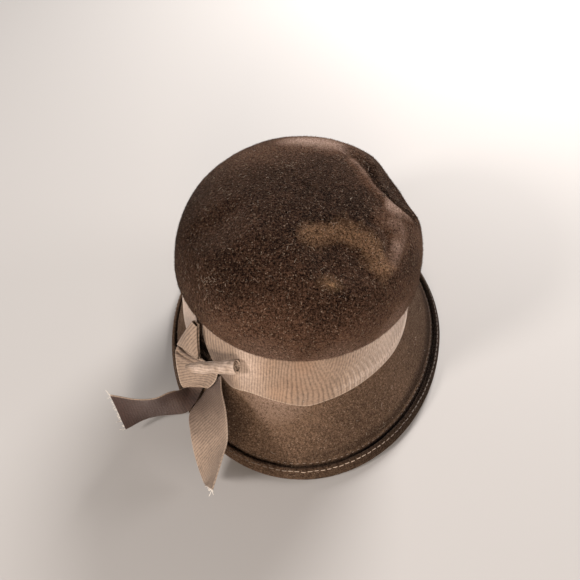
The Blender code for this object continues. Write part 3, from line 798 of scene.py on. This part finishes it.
def ribbon_piece(name, grid, distance, width, phase, replaces=(), shade=None, warm_light_tint=None, wall=RIBBON, relief=RELIEF, cut=False):
    """A woven ribbon round its middle surface: ribs on both faces and round, slightly thicker selvedges."""
    n, m = grid.shape[:2]
    along = np.gradient(grid, axis=0)
    across = np.gradient(grid, axis=1)
    normal = np.cross(across, along)
    normal /= np.maximum(np.linalg.norm(normal, axis=2, keepdims=True), 1e-9)
    from_edge = np.minimum(width, 1 - width) * 38.0
    round_off = np.sqrt(np.clip(1 - (1 - np.clip(from_edge / 0.42, 0, 1)) ** 2, 0.02, 1))
    selvedge = np.clip(1 - (from_edge - 0.55) / 0.5, 0, 1)
    height = rib_height(phase)
    lift = wall / 2 * round_off[None, :] + relief * height * (1 - 0.55 * selvedge[None, :]) * round_off[None, :] + 0.05 * selvedge[None, :]
    front = grid + normal * lift[..., None]
    back = grid - normal * lift[..., None]
    points = np.concatenate([front.reshape(-1, 3), back.reshape(-1, 3)])
    half = n * m
    i, j = np.meshgrid(np.arange(n - 1), np.arange(m - 1), indexing="ij")
    a = (i * m + j).ravel()
    b = ((i + 1) * m + j).ravel()
    faces = [np.stack([a, b, b + 1, a + 1], -1), np.stack([half + a, half + a + 1, half + b + 1, half + b], -1)]
    i = np.arange(n - 1)
    a, b = i * m, (i + 1) * m
    faces.append(np.stack([a, half + a, half + b, b], -1))
    faces.append(np.stack([a + m - 1, b + m - 1, half + b + m - 1, half + a + m - 1], -1))
    j = np.arange(m - 1)
    a, b = j, (n - 1) * m + j
    faces.append(np.stack([a, a + 1, half + a + 1, half + a], -1))
    faces.append(np.stack([b, half + b, half + b + 1, b + 1], -1))
    faces = np.concatenate(faces)[:, ::-1]
    one = np.ones((n, 1))
    rib = height
    pale = one * selvedge[None, :]
    if cut:
        pale = np.maximum(pale, np.clip(1 - (distance[-1] - distance[:, None] - 0.3 * wave(grid, 3.0, 61, 1)) / 0.9, 0, 1) * 1.6)
    marks = dict(
        rib=np.tile(rib.ravel(), 2),
        along=np.tile((distance[:, None] * np.ones((1, m))).ravel(), 2),
        across=np.tile((one * (width * 38.0)[None, :]).ravel(), 2),
        edge=np.tile(pale.ravel(), 2),
        shade=np.tile((np.zeros((n, m)) if shade is None else shade).ravel(), 2),
        warm_light_tint=np.tile((np.zeros((n, m)) if warm_light_tint is None else warm_light_tint).ravel(), 2),
    )
    return new_piece(name, points, faces, GROSGRAIN, replaces, marks=marks)


def s_at(z):
    """The s of a level between the fullest section and the brim."""
    s = np.linspace(1.0, 2.0, 561)
    levels = smooth(SECTIONS, "z", (s - 1) * (len(SECTIONS) - 1))
    z = np.asarray(z, float)
    return np.where(z < HEAD_Z, 3 - z / HEAD_Z, np.interp(-z, -levels, s))


def band_piece():
    width = across_steps(38.0, 13)
    t = np.linspace(0, len(BAND) - 1, 2401)
    row = {key: smooth(BAND, key, t) for key in BAND[0]}
    middle = plain_felt(np.radians((row["low"] + row["high"]) / 2), s_at((row["z_low"] + row["z_high"]) / 2))
    run = np.concatenate([[0], np.cumsum(np.linalg.norm(np.diff(middle, axis=0), axis=1))])
    count = int(run[-1] / (RIB / 5))
    distance = np.linspace(0, run[-1], count + 1)
    t = np.interp(distance, run, t)
    row = {key: smooth(BAND, key, t)[:, None] for key in BAND[0]}
    v = width[None, :]
    angle = np.radians(row["low"] + (row["high"] - row["low"]) * v + row["bulge"] * 4 * v * (1 - v))
    z = row["z_low"] + (row["z_high"] - row["z_low"]) * v
    s = s_at(z)
    normal = outward(angle, s)
    # the lower edge rolls out a little where it meets the brim, and the cloth is eased in shallow waves
    down = (1 - v) * 38.0
    off = GAP + 0.5 + 0.55 * np.exp(-((v * 38.0) / 2.6) ** 2) * (1 + 0.35 * np.sin(distance[:, None] / 11.0))
    off = off + 0.16 * (1 + np.sin(distance[:, None] / 17.0 + v * 2.0)) * (1 - np.abs(2 * v - 1))
    grid = plain_felt(angle, s) + normal * off[..., None]
    lean = np.interp(np.degrees(angle), [a for a, _ in BAND_LEAN], [c for _, c in BAND_LEAN])
    w = 1 - v
    degrees = np.degrees(angle)
    phase = (distance[:, None] - lean * (w - w * w / 2) + 0.45 * wave(grid, 15.0, 53, 2)) / RIB
    # drawn diagonals where it is pulled round the right side, and a lengthwise fold above the lower edge there
    right = np.clip((degrees - 292.0) / 14.0, 0, 1) * np.clip((352.0 - degrees) / 12.0, 0, 1)
    pulled = np.sin(2 * math.pi * (distance[:, None] - 1.35 * lean * (w - w * w / 2)) / 4.3 + 0.8 * wave(grid, 30.0, 57, 1))
    fold = np.exp(-(((v * 38.0 - 6.5 - 2.0 * np.sin((degrees - 300.0) / 16.0)) / 1.7) ** 2)) * right
    grid = grid + normal * (0.26 * right * pulled * np.clip(v / 0.15, 0, 1) + 1.1 * fold)[..., None]
    # painted shade in the middle of the front, heavier in the corner beside the knot and a little at the right tip;
    # painted highlight at both sides; painted light and shade on the pulled diagonals and the fold on the right
    shade = 0.13 * np.exp(-(((degrees - 274.0) / 20.0) ** 2)) + 0.08 * wave(grid, 26.0, 54, 2)
    shade = shade + 0.42 * np.exp(-(((degrees - 244.0) / 6.0) ** 2)) * np.clip(1.7 - 1.6 * v, 0, 1)
    shade = shade + 0.35 * np.exp(-(((degrees - 250.0) / 8.0) ** 2)) * np.clip(1 - v / 0.4, 0, 1)
    shade = shade - 0.55 * np.exp(-(((degrees - 257.0) / 8.0) ** 2)) + 0.25 * np.exp(-(((degrees - 346.0) / 8.0) ** 2))
    shade = shade - 0.62 * np.clip((degrees - 296.0) / 26.0, 0, 1) + 0.20 * right * pulled - 0.4 * fold
    shade = np.clip(shade, -1, 0.85)
    # painted warm lamplight on the front
    warm_light_tint = np.clip(1.0 - np.abs(degrees - 278.0) / 30.0, 0, 1) * (0.75 + 0.3 * wave(grid, 22.0, 58, 2))
    piece = ribbon_piece("band", grid, distance, width, phase, replaces=["ribbon_band"], shade=shade, warm_light_tint=np.clip(warm_light_tint, 0, 1))
    return piece


def strip(rows, step, middle, width_mm=38.0):
    """A ribbon in the air with even steps along it: its middle surface, the distance and the places across."""
    table = [{k + str(i): r[k][i] for k in "ab" for i in range(3)} | {"bow": r["bow"]} for r in rows]
    dense = np.linspace(0, len(rows) - 1, 60 * (len(rows) - 1) + 1)
    a = np.stack([smooth(table, f"a{i}", dense) for i in range(3)], -1)
    b = np.stack([smooth(table, f"b{i}", dense) for i in range(3)], -1)
    middle_line = (a + b) / 2
    run = np.concatenate([[0], np.cumsum(np.linalg.norm(np.diff(middle_line, axis=0), axis=1))])
    count = max(int(round(run[-1] / step)), 8)
    distance = np.linspace(0, run[-1], count + 1)
    t = np.interp(distance, run, dense)
    a = np.stack([smooth(table, f"a{i}", t) for i in range(3)], -1)
    b = np.stack([smooth(table, f"b{i}", t) for i in range(3)], -1)
    bow = smooth(table, "bow", t)
    way = np.gradient(a + b, axis=0)
    side = np.cross(b - a, way)
    side /= np.linalg.norm(side, axis=1, keepdims=True)
    width = across_steps(width_mm, middle)
    v = width[None, :, None]
    grid = a[:, None] + (b - a)[:, None] * v + (side * bow[:, None])[:, None] * 4 * v * (1 - v)
    return grid, distance, width, side


def loop_piece():
    grid, distance, width, side = strip(LOOP, 0.36, 44)
    # its ribs run along the fold on its left, so they are counted off from there
    a, b = (np.array(LOOP[3][k]) for k in "ab")
    way = (b - a) / np.linalg.norm(b - a)
    off = grid - a
    off = np.linalg.norm(off - (off @ way)[..., None] * way, axis=-1)
    v = width[None, :]
    grid = grid + side[:, None] * (0.45 * np.sin(off / 5.2 + 2.0 * v) * np.sin(np.pi * v) ** 0.5)[..., None]
    phase = (off + 0.18 * wave(grid, 9.0, 41, 2)) / RIB
    # painted shade near the fold on its left
    shade = np.clip(0.20 - off / 60.0, 0, 1) * np.ones_like(off)
    piece = ribbon_piece("loop", grid, distance, width, phase, replaces=["bow_loop"], shade=shade)
    return piece


def wrap_piece():
    grid, distance, width, side = strip(WRAP, 0.3, 40)
    v = width[None, :]
    d = distance[:, None]
    crease = np.zeros((len(distance), len(width)))
    for start, run, wide, high in ((7.0, 10.0, 1.5, 0.9), (9.6, 12.0, 1.2, -0.9), (12.0, 14.0, 1.6, 0.75), (15.2, 15.0, 1.3, -0.7), (19.0, 12.0, 2.2, 0.4)):
        crease = crease + high * np.exp(-(((d - start - run * v) / (wide * (1 + 0.5 * v))) ** 2))
    grid = grid + side[:, None] * (crease * (1 - 0.75 * v) * np.clip(v / 0.06, 0.25, 1))[..., None]
    phase = (d + 1.6 * (4 * v * (1 - v)) + 0.22 * wave(grid, 8.0, 43, 2)) / RIB
    # painted shade, heavier at its top end under the loop, lighter on the crests of its creases and darker in their
    # hollows
    shade = np.clip(0.28 - 0.22 * np.clip(d / 24.0, 0, 1) - crease * 0.28, 0, 0.75)
    piece = ribbon_piece("wrap", grid, distance, width, phase, replaces=["knot_wrap"], shade=shade)
    return piece


def side_tail_piece():
    grid, distance, width, side = strip(SIDE_TAIL, 0.36, 40)
    v = width[None, :]
    grid = grid + side[:, None] * (0.5 * np.sin(distance[:, None] / 8.0 + 3.0 * v) * np.clip(distance[:, None] / 20.0, 0, 1))[..., None]
    phase = (distance[:, None] + 0.35 * wave(grid, 12.0, 45, 2)) / RIB
    # painted shade over this whole face, a little less near the knot, and a painted highlight along its top selvedge
    shade = 1.02 + 0.05 * wave(grid, 20.0, 46, 2) - 0.26 * np.exp(-distance[:, None] / 14.0)
    shade = shade * (1 - 0.85 * np.clip(1 - v * 38.0 / 1.3, 0, 1))
    piece = ribbon_piece("side_tail", grid, distance, width, phase, replaces=["tail_side"], shade=np.clip(shade, 0, 1), relief=0.10, cut=True)
    return grid


def hanging_tail_piece():
    grid, distance, width, side = strip(HANGING_TAIL, 0.36, 56)
    v = width[None, :]
    d = distance[:, None]
    grid = grid + side[:, None] * (0.35 * np.sin(d / 9.0 + 2.4 * v) * np.clip(d / 20.0, 0, 1))[..., None]
    slant = np.interp(d, [0, 20, 60, 80], [10.0, 15.0, 17.0, 15.0])
    phase = (d + slant * (v - 0.5) + 0.30 * wave(grid, 11.0, 47, 2)) / (RIB * 1.08)
    # painted shade from the knot, fading towards the tip, a painted shadow along its left edge near the knot, and a
    # painted highlight along its right selvedge
    shade = np.clip(0.92 - d / 52.0, -0.05, 1) + 0.35 * np.exp(-(v * 30.0) / 4.0) * np.clip(1 - d / 42.0, 0, 1) + 0.08 * wave(grid, 16.0, 48, 2)
    shade = shade * (1 - 0.85 * np.clip(1 - (1 - v) * 38.0 / 1.3, 0, 1))
    piece = ribbon_piece("hanging_tail", grid, distance, width, phase, replaces=["tail_hanging"], shade=np.clip(shade, 0, 0.9), cut=True)
    return grid


def roll_piece():
    start, end = (np.array(p) for p in ROLL_ENDS)
    axis = (end - start) / np.linalg.norm(end - start)
    side = np.cross(axis, (0.0, 0.0, 1.0))
    side /= np.linalg.norm(side)
    up = np.cross(side, axis)
    count = int(ROLL_TURNS * 60)
    turn = np.arange(count + 1) / 60
    a = 2 * math.pi * turn - 0.6
    width = across_steps(38.0, 40)
    v = width[None, :]
    radius = ROLL_RADIUS[0] + (ROLL_RADIUS[1] - ROLL_RADIUS[0]) * v
    r = radius - 0.5 - ROLL_PITCH * turn[:, None] * (radius / ROLL_RADIUS[1])
    # rolled by hand: it narrows into the knot and is never quite round
    r = r * np.interp(v, [0, 0.08, 0.3, 0.6, 1.0], [0.62, 0.78, 0.96, 0.98, 1.04])
    r = r * (1 + 0.05 * np.sin(v * 11.0 + 2 * a[:, None]) + 0.035 * np.sin(v * 23.0 + 3 * a[:, None] + 1.0))
    # the layers stand out unevenly at the end
    slide = 0.45 * np.sin(turn[:, None] * 2.6 + 0.4) * v
    centre = start[None, None] + (end - start)[None, None] * v[..., None] + axis * slide[..., None]
    grid = centre + r[..., None] * (np.cos(a)[:, None, None] * side + np.sin(a)[:, None, None] * up)
    run = np.concatenate([[0], np.cumsum(np.linalg.norm(np.diff(grid[:, len(width) // 2], axis=0), axis=1))])
    phase = (run[:, None] + 4.6 * v + 0.5 * wave(grid, 10.0, 51, 2)) / RIB
    # painted highlight over most of the roll and painted shade where it goes into the knot
    shade = np.clip(-0.38 + 0.30 * wave(grid, 7.0, 52, 2) + 0.9 * np.exp(-v * 9.0), -1, 0.8)
    piece = ribbon_piece("roll", grid, run, width, phase, replaces=["ribbon_roll"], wall=0.6, relief=0.10, shade=shade)
    return piece


wrap_piece()
band_piece()
loop_piece()
SIDE_GRID = side_tail_piece()
HANGING_GRID = hanging_tail_piece()
roll_piece()


# ------------------------------------------------------------ threads and hairs
def tube(path, radius, sides=6, ends=0.3):
    """A thin closed tube along a path, drawn in at both ends."""
    path = np.asarray(path, float)
    way = np.gradient(path, axis=0)
    way /= np.maximum(np.linalg.norm(way, axis=1, keepdims=True), 1e-9)
    ref = np.array((0.0, 0.0, 1.0)) if abs(way[:, 2]).mean() < 0.8 else np.array((1.0, 0.0, 0.0))
    side = np.cross(way, ref)
    side /= np.maximum(np.linalg.norm(side, axis=1, keepdims=True), 1e-9)
    up = np.cross(side, way)
    n = len(path)
    thick = np.broadcast_to(np.asarray(radius, float), (n,)).copy()
    thick[0] *= ends
    thick[-1] *= ends
    a = 2 * math.pi * np.arange(sides) / sides
    rings = path[:, None] + thick[:, None, None] * (np.cos(a)[None, :, None] * side[:, None] + np.sin(a)[None, :, None] * up[:, None])
    points = np.concatenate([rings.reshape(-1, 3), path[:1], path[-1:]])
    quads = ring_faces(n, sides)
    i = np.arange(sides)
    k = (i + 1) % sides
    tips = np.concatenate([
        np.stack([np.full(sides, n * sides), i, k], -1),
        np.stack([np.full(sides, n * sides + 1), (n - 1) * sides + k, (n - 1) * sides + i], -1),
    ])
    return points, quads, tips


def joined(parts):
    points, quads, tips, at = [], [], [], 0
    for p, q, t in parts:
        points.append(p)
        quads.append(q + at)
        tips.append(t + at)
        at += len(p)
    return np.concatenate(points), np.concatenate(quads), np.concatenate(tips)


THREAD = thread("stitch_thread", (0.34, 0.24, 0.17), (0.78, 0.62, 0.48), thread_shade=(0.060, 0.038, 0.027))


def build_threads():
    dense = np.linspace(0, 2 * math.pi, 4001)
    far = brim_distance(dense)
    for name, up_at, over_at, share, radius, pitch in (
        ("rim_stitches", 7.5, 3.32, 0.76, 0.27, 4.55),
        ("brim_stitches", 12.1, -0.12, 0.42, 0.17, 4.55),
    ):
        line = on_brim(dense, far, up_at, over_at)
        run = np.concatenate([[0], np.cumsum(np.linalg.norm(np.diff(line, axis=0), axis=1))])
        count = int(round(run[-1] / pitch))
        pitch = run[-1] / count
        parts, thread_shade = [], []
        for i in range(count):
            wobble = rng.normal(size=4) * (0.12, 0.12, 0.16, 0.14)
            start = (i + 0.5 - share / 2) * pitch + wobble[0]
            end = (i + 0.5 + share / 2) * pitch + wobble[1]
            f = np.linspace(0, 1, 9)
            d = start + (end - start) * f
            angle = np.interp(d % run[-1], run, dense)
            near = brim_distance(angle)
            up = up_at + wobble[2] + wobble[3] * (f - 0.5)
            over = over_at + radius * 0.75 - 3.2 * radius * np.abs(2 * f - 1) ** 7
            parts.append(tube(on_brim(angle, near, up, over), radius, 6, 0.7))
            # painted shade: the thread is left bright along the front right, where the light falls, and darkened
            # elsewhere
            off = abs((math.degrees(angle[4]) - 288.0 + 180.0) % 360.0 - 180.0)
            thread_shade.append(np.full(len(parts[-1][0]), np.clip((off - 10.0) / 20.0, 0, 0.92) if name == "rim_stitches" else np.clip(0.35 + off / 60.0, 0, 0.9)))
        points, quads, tips = joined(parts)
        new_piece(name, points, quads, THREAD, marks=dict(thread_shade=np.concatenate(thread_shade)), tris=tips)


build_threads()
PALE_THREAD = thread("pale_thread", (0.70, 0.64, 0.55), (0.95, 0.91, 0.84))
LINT = thread("lint", (0.26, 0.19, 0.135), (0.62, 0.51, 0.40), 0.1)


def frays():
    """Loose warp and weft threads at the cut ends of both tails."""
    pick = np.random.default_rng(17)
    for name, grid, count, longest, extra in (("side_frays", SIDE_GRID, 46, 2.6, ((0.02, 3.4), (0.72, 3.6), (0.97, 4.4))), ("hanging_frays", HANGING_GRID, 30, 2.2, ((0.04, 6.0), (0.10, 4.6), (0.93, 4.6), (0.98, 3.4)))):
        end, before = grid[-1], grid[-6]
        way = end - before
        way /= np.linalg.norm(way, axis=1, keepdims=True)
        cross = end[-1] - end[0]
        cross /= np.linalg.norm(cross)
        normal = np.cross(cross, way.mean(0))
        parts = []
        spots = [(pick.uniform(0, 1), pick.uniform(0.7, longest)) for _ in range(count)] + list(extra)
        for v, length in spots:
            i = v * (len(end) - 1)
            at = np.array([np.interp(i, np.arange(len(end)), end[:, k]) for k in range(3)])
            out = way[int(i)] + cross * pick.normal() * 0.45 + normal * pick.normal() * 0.35
            out /= np.linalg.norm(out)
            bend = cross * pick.normal() * 0.5 + normal * pick.normal() * 0.5
            f = np.linspace(0, 1, 7)[:, None]
            path = at - out * 0.5 + out * (length + 0.5) * f + bend * length * f * f * 0.6
            parts.append(tube(path, pick.uniform(0.10, 0.17) * (1.35 if length > 3 else 1.0), 5, 0.6))
        points, quads, tips = joined(parts)
        new_piece(name, points, quads, PALE_THREAD, tris=tips)


def blocked(angle, s):
    """The outer felt with the slow unevenness that the felt piece has."""
    point = felt(angle, s)
    return point + outward(angle, np.maximum(s, 0.02)) * (wave(point, 95.0, 3, 3) * 0.45 + wave(point, 14.0, 5, 2) * 0.10)[..., None]


def hairs():
    """Pale hairs and lint caught in the nap, thickest where the photograph shows them."""
    pick = np.random.default_rng(23)
    parts = []
    angles, ss = [], []
    for at, s0, wide, tall, count in ((231, 0.73, 6, 0.05, 26), (313, 2.6, 5, 0.13, 9), (335, 2.27, 1, 0.01, 2), (292, 0.52, 9, 0.05, 8), (205, 0.42, 14, 0.10, 7)):
        angles += list(pick.normal(at, wide, count))
        ss += list(pick.normal(s0, tall, count))
    loose = 150
    angles += list(pick.uniform(0, 360, loose))
    ss += list(pick.choice([0, 1], loose, p=[0.68, 0.32]) * 2.05 + pick.uniform(0.08, 0.72, loose))
    for degrees, s in zip(angles, ss):
        s = float(np.clip(s, 0.05, 2.72))
        a0 = math.radians(degrees)
        length = pick.gamma(1.7, 0.8) + 0.6
        turn = pick.uniform(0, 2 * math.pi)
        curl = pick.normal() * 0.9
        f = np.linspace(-0.5, 0.5, 7)
        spread = length / 75.0
        heading = turn + curl * f
        da = np.cumsum(np.cos(heading)) / 7 * spread / max(min(s, 1.0), 0.25)
        ds = np.cumsum(np.sin(heading)) / 7 * spread * (0.8 if s < 1 else 1.3)
        spot = blocked(a0 + da, np.full(7, s) + ds)
        normal = outward(a0 + da, np.full(7, s) + ds)
        rise = 0.35 + 0.5 * pick.uniform() + pick.uniform(0, 0.6) * np.sin(np.pi * (f + 0.5))
        parts.append(tube(spot + normal * np.broadcast_to(rise, (7,))[:, None], pick.uniform(0.035, 0.085), 4, 0.5))
    points, quads, tips = joined(parts)
    return new_piece("lint_hairs", points, quads, LINT, tris=tips)


def nap_fibres(name, count, seed, s_low, s_high, lengths, material):
    """Short fibres standing up from the felt, each a thin closed spike."""
    pick = np.random.default_rng(seed)
    grid_a = np.linspace(0, 2 * math.pi, 181)
    grid_s = np.linspace(s_low, s_high, 81)
    surface = plain_felt(grid_a[None, :], grid_s[:, None])
    a = np.diff(surface, axis=0)[:, :-1]
    b = np.diff(surface, axis=1)[:-1]
    area = np.linalg.norm(np.cross(a, b), axis=-1)
    cell = pick.choice(area.size, count, p=(area / area.sum()).ravel())
    i, j = np.divmod(cell, area.shape[1])
    s = grid_s[i] + pick.uniform(size=count) * (grid_s[1] - grid_s[0])
    angle = grid_a[j] + pick.uniform(size=count) * (grid_a[1] - grid_a[0])
    s = np.maximum(s, 0.02)
    root = blocked(angle, s)
    normal = outward(angle, s)
    down = plain_felt(angle, s + 0.01) - plain_felt(angle, s)
    down /= np.linalg.norm(down, axis=1, keepdims=True)
    side = np.cross(normal, down)
    way = normal * pick.uniform(0.35, 1.0, count)[:, None] + down * pick.normal(0.45, 0.4, count)[:, None] + side * pick.normal(0, 0.45, count)[:, None]
    way /= np.linalg.norm(way, axis=1, keepdims=True)
    length = pick.uniform(*lengths, count)[:, None]
    thick = pick.uniform(0.07, 0.13, count)[:, None]
    u = np.cross(way, side + 0.1 * down)
    u /= np.linalg.norm(u, axis=1, keepdims=True)
    w = np.cross(way, u)
    root = root - normal * 0.15
    base = [root + thick * (math.cos(t) * u + math.sin(t) * w) for t in (0.0, 2.0944, 4.1888)]
    points = np.stack(base + [root + way * length], 1).reshape(-1, 3)
    k = np.arange(count)[:, None] * 4
    tris = np.concatenate([k + (0, 1, 3), k + (1, 2, 3), k + (2, 0, 3), k + (0, 2, 1)])
    tone = pick.beta(0.9, 2.6, count)
    marks = dict(
        tone=np.repeat(tone, 4),
        brim=np.repeat(np.clip((s - 1.55) / 0.3, 0, 1), 4),
        # the nap fibres take the painted highlight and painted shade of the felt under them
        painted_light_and_shade=np.repeat(painted_light_and_shade(root), 4),
    )
    return new_piece(name, points, tris, material, marks=marks, flat=True)


def fibre():
    n = Nodes("velour_nap")
    # painted highlight and painted shade from the felt under each fibre
    tone = n.math("MULTIPLY_ADD", n.mark("painted_light_and_shade"), 0.32, n.mark("tone"), clamp=True)
    crown = n.mix(tone, (0.0028, 0.0014, 0.0009), (0.225, 0.130, 0.086))
    brim = n.mix(tone, (0.0220, 0.0130, 0.0090), (0.420, 0.275, 0.195))
    n.link(n.mix(n.mark("brim"), crown, brim), n.shader.inputs["Base Color"])
    n.shader.inputs["Roughness"].default_value = 0.8
    n.shader.inputs["Specular IOR Level"].default_value = 0.15
    return n.material


frays()
hairs()
NAP = fibre()
nap_fibres("crown_nap", 44000, 29, 0.02, 1.45, (0.7, 1.7), NAP)
nap_fibres("brim_nap", 26000, 30, 2.02, 2.80, (0.5, 1.2), NAP)


# ------------------------------------------------------------- floor and light
def stage():
    mesh = bpy.data.meshes.new("floor")
    far = 4.0
    mesh.from_pydata([(-far, -far, 0), (far, -far, 0), (far, far, 0), (-far, far, 0)], [], [(0, 1, 2, 3)])
    floor = bpy.data.objects.new("floor", mesh)
    bpy.context.scene.collection.objects.link(floor)
    n = Nodes("pale_floor")
    n.shader.inputs["Base Color"].default_value = (0.46, 0.45, 0.44, 1.0)
    n.shader.inputs["Roughness"].default_value = 0.8
    n.shader.inputs["Specular IOR Level"].default_value = 0.2
    mesh.materials.append(n.material)
    floor.location.z = -0.0002


def area(name, place, aim, size, power, colour):
    data = bpy.data.lights.new(name, "AREA")
    data.shape = "DISK"
    data.size = size
    data.energy = power
    data.color = colour
    light = bpy.data.objects.new(name, data)
    bpy.context.scene.collection.objects.link(light)
    way = np.array(aim, float) - np.array(place, float)
    z = -way / np.linalg.norm(way)
    x = np.cross((0, 0, 1.0), z)
    x /= np.linalg.norm(x)
    y = np.cross(z, x)
    light.matrix_world = Matrix.Translation(place) @ Matrix([list(r) for r in np.stack([x, y, z]).T]).to_4x4()


stage()
MIDDLE = (0.0, 0.0, 0.07)
area("key", (-0.95, -0.85, 0.80), MIDDLE, 0.28, 15.0, (1.0, 0.92, 0.87))
area("front_lamp", (0.20, -1.35, 0.42), MIDDLE, 0.45, 14.0, (1.0, 0.86, 0.74))
area("back_rim", (0.30, 1.10, 0.78), MIDDLE, 0.60, 30.0, (1.0, 0.95, 0.92))
area("right_fill", (1.1, 0.25, 0.55), MIDDLE, 0.60, 5.0, (1.0, 0.92, 0.90))

world = bpy.data.worlds.new("room")
bpy.context.scene.world = world
world.use_nodes = True
world.node_tree.nodes["Background"].inputs["Color"].default_value = (1.0, 0.96, 0.93, 1.0)
world.node_tree.nodes["Background"].inputs["Strength"].default_value = 0.12
bpy.context.scene.view_settings.view_transform = "Standard"
